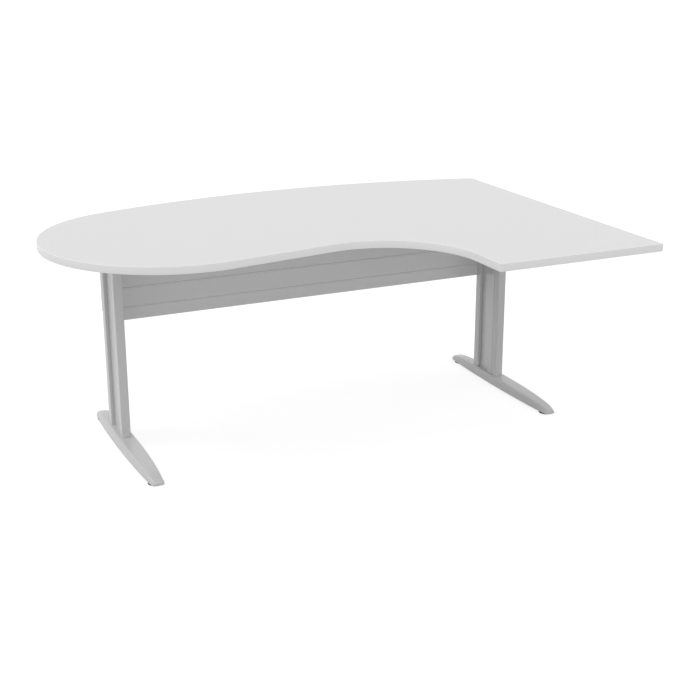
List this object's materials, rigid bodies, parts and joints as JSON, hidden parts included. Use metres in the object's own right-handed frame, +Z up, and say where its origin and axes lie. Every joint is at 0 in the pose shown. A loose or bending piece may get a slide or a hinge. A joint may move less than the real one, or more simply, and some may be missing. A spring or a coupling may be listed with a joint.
{
  "type": "compact office desk",
  "caption": "Office desk with a freely curved worktop, rounded at the left end and with a return at the right, on T-shaped steel legs with a beaded modesty panel and levelling glides.",
  "frame": {"origin": "on the floor, under the middle of the worktop's bounding box", "axes": "+X along the worktop towards the return, -Y towards the user, +Z up"},
  "size_m": [1.8, 1.3136, 0.72],
  "materials": {
    "board": "particleboard faced with light grey melamine, satin, fine grain",
    "edge_plastic": "light grey edge strip, satin",
    "silver_paint": "silver grey powder coat on steel, satin, fine texture",
    "zinc_steel": "zinc plated steel",
    "black_plastic": "black moulded plastic"
  },
  "bodies": {
    "desk": {"worktop_core": "board", "worktop_edge_band": "edge_plastic", "left_foot": "silver_paint", "right_foot": "silver_paint", "left_front_post": "silver_paint", "left_rear_post": "silver_paint", "right_front_post": "silver_paint", "right_rear_post": "silver_paint", "left_column_web": "silver_paint", "right_column_web": "silver_paint", "left_support_arm": "silver_paint", "right_support_arm": "silver_paint", "front_cross_rail": "silver_paint", "rear_cross_rail": "silver_paint", "modesty_panel": "silver_paint", "left_panel_strap": "silver_paint", "right_panel_strap": "silver_paint", "front_rail_bolt_left": "zinc_steel", "front_rail_bolt_right": "zinc_steel", "rear_rail_bolt_left": "zinc_steel", "rear_rail_bolt_right": "zinc_steel", "left_worktop_screw_1": "zinc_steel", "left_worktop_screw_2": "zinc_steel", "left_worktop_screw_3": "zinc_steel", "left_worktop_screw_4": "zinc_steel", "right_worktop_screw_1": "zinc_steel", "right_worktop_screw_2": "zinc_steel", "right_worktop_screw_3": "zinc_steel", "right_worktop_screw_4": "zinc_steel", "left_lower_strap_screw": "zinc_steel", "left_upper_strap_screw": "zinc_steel", "right_lower_strap_screw": "zinc_steel", "right_upper_strap_screw": "zinc_steel", "left_lower_panel_nut": "zinc_steel", "left_upper_panel_nut": "zinc_steel", "right_lower_panel_nut": "zinc_steel", "right_upper_panel_nut": "zinc_steel", "left_front_post_insert": "zinc_steel", "left_rear_post_insert": "zinc_steel", "right_front_post_insert": "zinc_steel", "right_rear_post_insert": "zinc_steel", "left_front_foot_bolt": "zinc_steel", "left_rear_foot_bolt": "zinc_steel", "right_front_foot_bolt": "zinc_steel", "right_rear_foot_bolt": "zinc_steel", "left_front_glide_socket": "zinc_steel", "left_rear_glide_socket": "zinc_steel", "right_front_glide_socket": "zinc_steel", "right_rear_glide_socket": "zinc_steel"},
    "left_front_pad": {"left_front_glide_pad": "black_plastic"},
    "left_front_stem": {"left_front_glide_stem": "zinc_steel"},
    "left_rear_pad": {"left_rear_glide_pad": "black_plastic"},
    "left_rear_stem": {"left_rear_glide_stem": "zinc_steel"},
    "right_front_pad": {"right_front_glide_pad": "black_plastic"},
    "right_front_stem": {"right_front_glide_stem": "zinc_steel"},
    "right_rear_pad": {"right_rear_glide_pad": "black_plastic"},
    "right_rear_stem": {"right_rear_glide_stem": "zinc_steel"}
  },
  "joints": [
    {"name": "left_front_level", "type": "slide", "parent": "desk", "child": "left_front_pad", "axis": [0, 0, -1], "range_m": [0, 0.005]},
    {"name": "left_front_turn", "type": "hinge", "parent": "left_front_pad", "child": "left_front_stem", "pos_m": [-0.6567, -0.18893, 0.01], "axis": [0, 0, -1], "range_deg": [0, 1441]},
    {"name": "left_rear_level", "type": "slide", "parent": "desk", "child": "left_rear_pad", "axis": [0, 0, -1], "range_m": [0, 0.005]},
    {"name": "left_rear_turn", "type": "hinge", "parent": "left_rear_pad", "child": "left_rear_stem", "pos_m": [-0.6567, 0.42447, 0.01], "axis": [0, 0, -1], "range_deg": [0, 1441]},
    {"name": "right_front_level", "type": "slide", "parent": "desk", "child": "right_front_pad", "axis": [0, 0, -1], "range_m": [0, 0.005]},
    {"name": "right_front_turn", "type": "hinge", "parent": "right_front_pad", "child": "right_front_stem", "pos_m": [0.8066, -0.18893, 0.01], "axis": [0, 0, -1], "range_deg": [0, 1441]},
    {"name": "right_rear_level", "type": "slide", "parent": "desk", "child": "right_rear_pad", "axis": [0, 0, -1], "range_m": [0, 0.005]},
    {"name": "right_rear_turn", "type": "hinge", "parent": "right_rear_pad", "child": "right_rear_stem", "pos_m": [0.8066, 0.42447, 0.01], "axis": [0, 0, -1], "range_deg": [0, 1441]}
  ],
  "couplings": [
    {"joint": "left_front_turn", "follows": "left_front_level", "rad_per_m": 5026.5},
    {"joint": "left_rear_turn", "follows": "left_rear_level", "rad_per_m": 5026.5},
    {"joint": "right_front_turn", "follows": "right_front_level", "rad_per_m": 5026.5},
    {"joint": "right_rear_turn", "follows": "right_rear_level", "rad_per_m": 5026.5}
  ]
}
